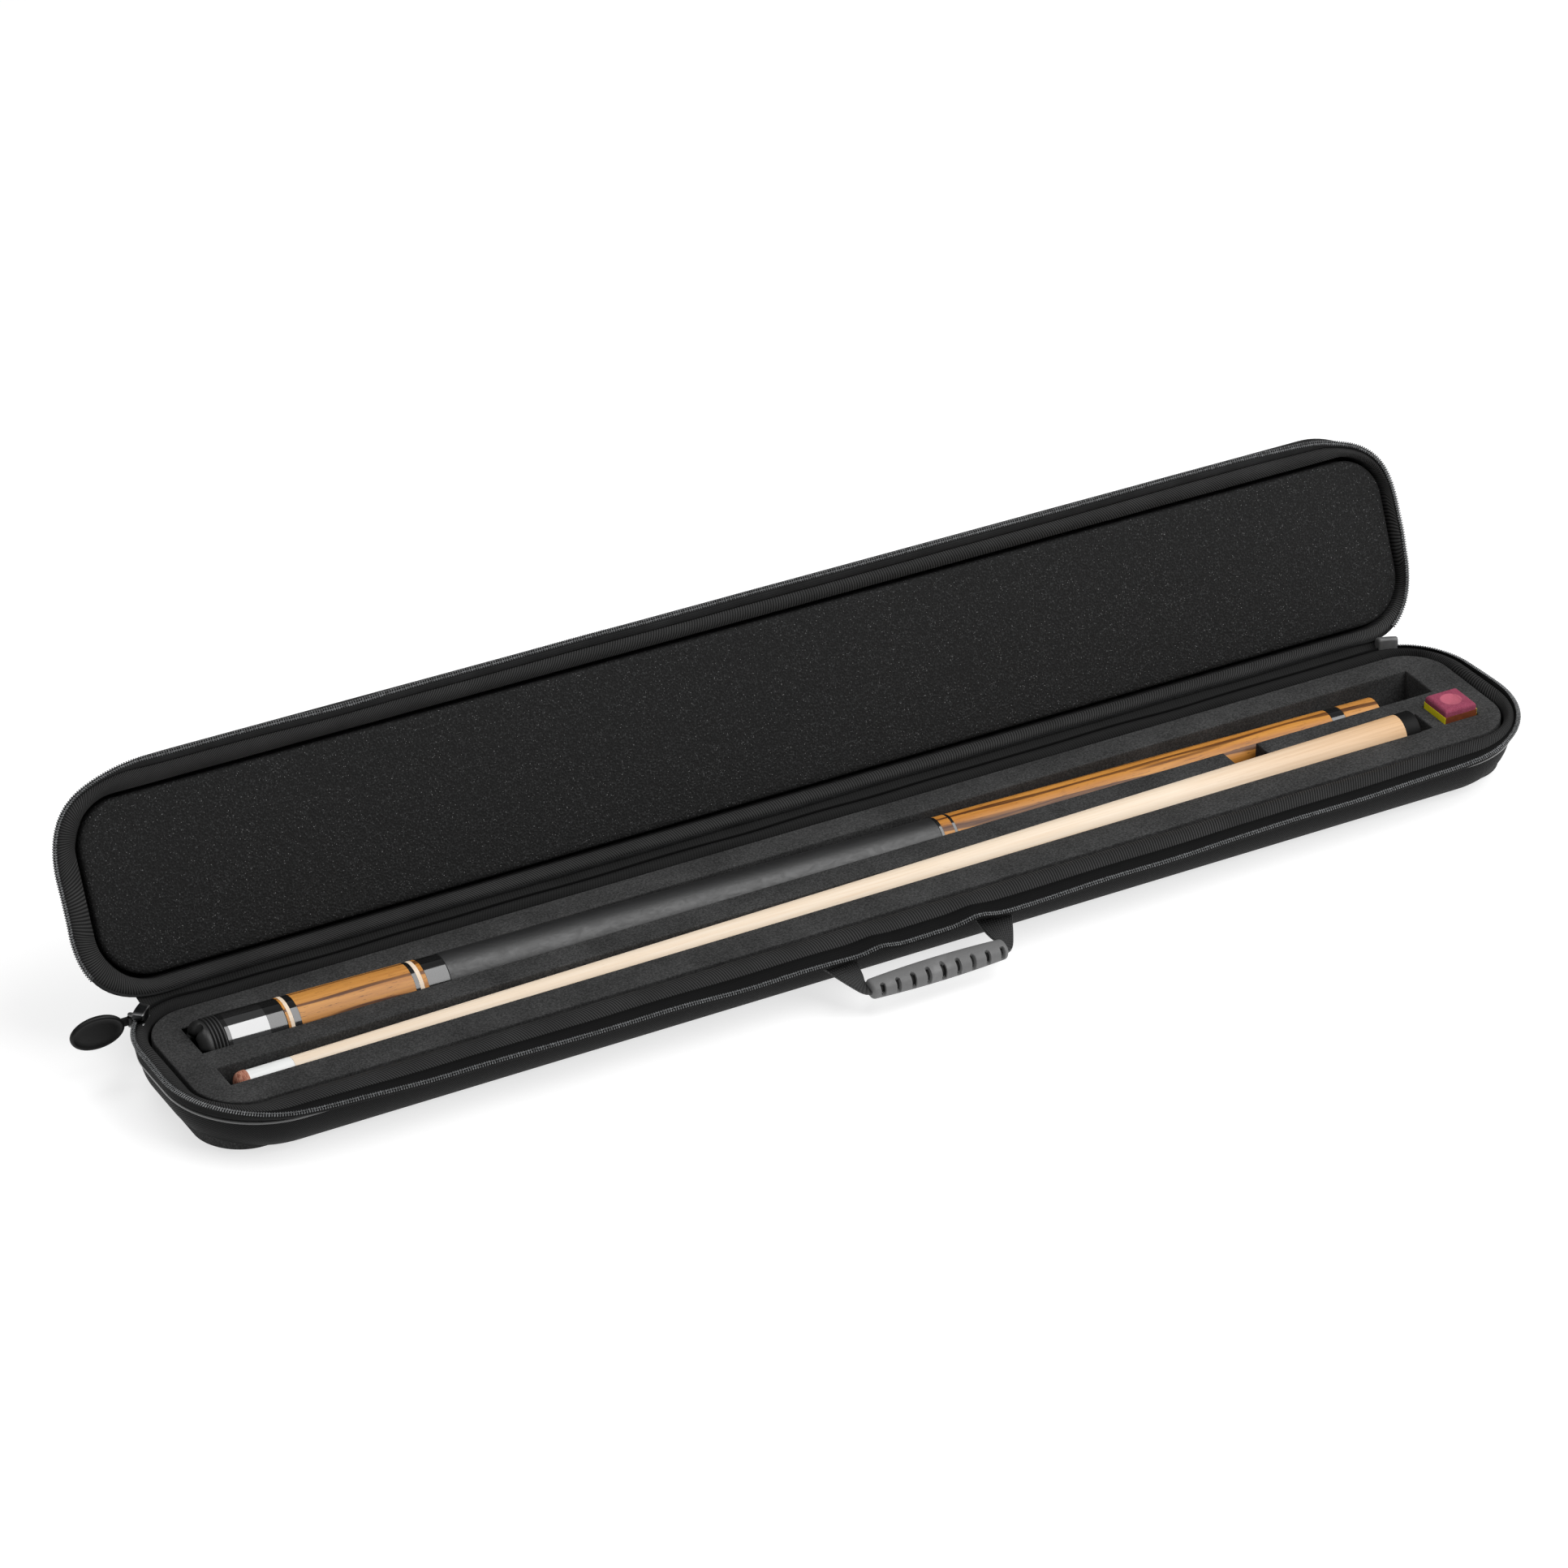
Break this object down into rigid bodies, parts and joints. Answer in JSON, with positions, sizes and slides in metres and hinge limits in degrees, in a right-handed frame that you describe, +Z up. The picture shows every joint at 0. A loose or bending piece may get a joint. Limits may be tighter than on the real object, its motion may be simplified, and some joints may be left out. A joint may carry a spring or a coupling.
{
  "type": "cue case",
  "caption": "Long hard-sided cue case, open on its fabric hinge, with fitted foam holding a two-piece cue and a cube of chalk; zip, pull tab and carrying handle.",
  "frame": {"origin": "centre of the flat underside of the base", "axes": "+X along the case, away from the zip slider; -Y towards the carrying handle; +Z up"},
  "size_m": [0.8621, 0.2319, 0.1517],
  "materials": {
    "shell_nylon": "ribbed nylon laminated over a moulded shell",
    "piping": "glossy black piping",
    "zip_tape": "woven black zip tape",
    "zip_coil": "black nylon coil with worn silver-grey tips",
    "lining": "ribbed black lining fabric",
    "foam": "fine dark grey closed-cell foam, matte",
    "end_stop": "grey moulded rubber, satin",
    "sponge": "open-cell black sponge with fine bright flecks",
    "slider_metal": "black painted cast metal",
    "black_rubber": "moulded black rubber",
    "webbing": "ribbed black webbing",
    "grip_rubber": "dark grey moulded rubber, satin",
    "gloss_black": "polished black resin",
    "striped_wood": "golden brown wood with dark stripes, gloss lacquer",
    "maple": "pale straight-grained maple, satin lacquer",
    "wrap": "dark grey embossed wrap, satin",
    "steel": "turned steel",
    "tip_leather": "compressed leather, scuffed",
    "ferrule": "white ferrule, polished",
    "brass": "turned brass",
    "chalk": "pressed maroon cue chalk, dusty, paler in its dimple",
    "chalk_label": "plain printed paper label, yellow and brown"
  },
  "bodies": {
    "base": {"base_shell": "shell_nylon", "base_piping": "piping", "base_zipper_tape": "zip_tape", "base_zipper_teeth": "zip_coil", "base_lining": "lining", "foam_insert": "foam", "hinge_gusset": "zip_tape", "zipper_end_stop": "end_stop"},
    "lid": {"lid_shell": "shell_nylon", "lid_piping": "piping", "lid_zipper_tape": "zip_tape", "lid_zipper_teeth": "zip_coil", "lid_lining": "lining", "lid_foam_pad": "sponge", "hinge_gusset_lid_edge": "zip_tape"},
    "slider": {"zipper_slider": "slider_metal"},
    "pull": {"pull_tab": "black_rubber"},
    "handle": {"handle_webbing": "webbing", "handle_grip": "grip_rubber"},
    "cue_butt": {"butt_bumper": "black_rubber", "butt_end_cap": "gloss_black", "butt_ring_wood_low": "striped_wood", "butt_ring_maple_low": "maple", "butt_ring_black_low": "gloss_black", "butt_sleeve": "striped_wood", "butt_ring_black_mid": "gloss_black", "butt_ring_maple_mid": "maple", "butt_ring_wood_mid": "striped_wood", "butt_collar": "gloss_black", "butt_wrap": "wrap", "butt_ring_black_high": "gloss_black", "butt_ring_pieced": "striped_wood", "butt_ring_black_top": "gloss_black", "butt_forearm": "striped_wood", "butt_joint_ring": "gloss_black", "butt_joint_sleeve": "striped_wood", "butt_joint_pin": "steel"},
    "cue_shaft": {"shaft_tip": "tip_leather", "shaft_ferrule": "ferrule", "shaft_wood": "maple", "shaft_collar": "gloss_black", "shaft_insert": "brass"},
    "chalk": {"chalk_block": "chalk", "chalk_label": "chalk_label"}
  },
  "joints": [
    {"name": "lid_hinge", "type": "hinge", "parent": "base", "child": "lid", "pos_m": [0, 0.0635, 0.0365], "axis": [-1, 0, 0], "range_deg": [-114.4, 65.6]},
    {"name": "handle_swing", "type": "hinge", "parent": "base", "child": "handle", "pos_m": [0, -0.064, 0.023], "axis": [-1, 0, 0], "range_deg": [-20, 75]},
    {"name": "slider_travel", "type": "hinge", "parent": "base", "child": "slider", "pos_m": [-0.373, 0.0185, 0.0365], "axis": [0, 0, 1], "range_deg": [0, 44]},
    {"name": "pull_swing", "type": "hinge", "parent": "slider", "child": "pull", "pos_m": [-0.40899, 0.0535, 0.0335], "axis": [0, 0, 1], "range_deg": [-100, 30]},
    {"name": "butt_lift", "type": "slide", "parent": "base", "child": "cue_butt", "axis": [0, 0, 1], "range_m": [0, 0.06]},
    {"name": "shaft_lift", "type": "slide", "parent": "base", "child": "cue_shaft", "axis": [0, 0, 1], "range_m": [0, 0.06]},
    {"name": "chalk_lift", "type": "slide", "parent": "base", "child": "chalk", "axis": [0, 0, 1], "range_m": [0, 0.05]}
  ]
}
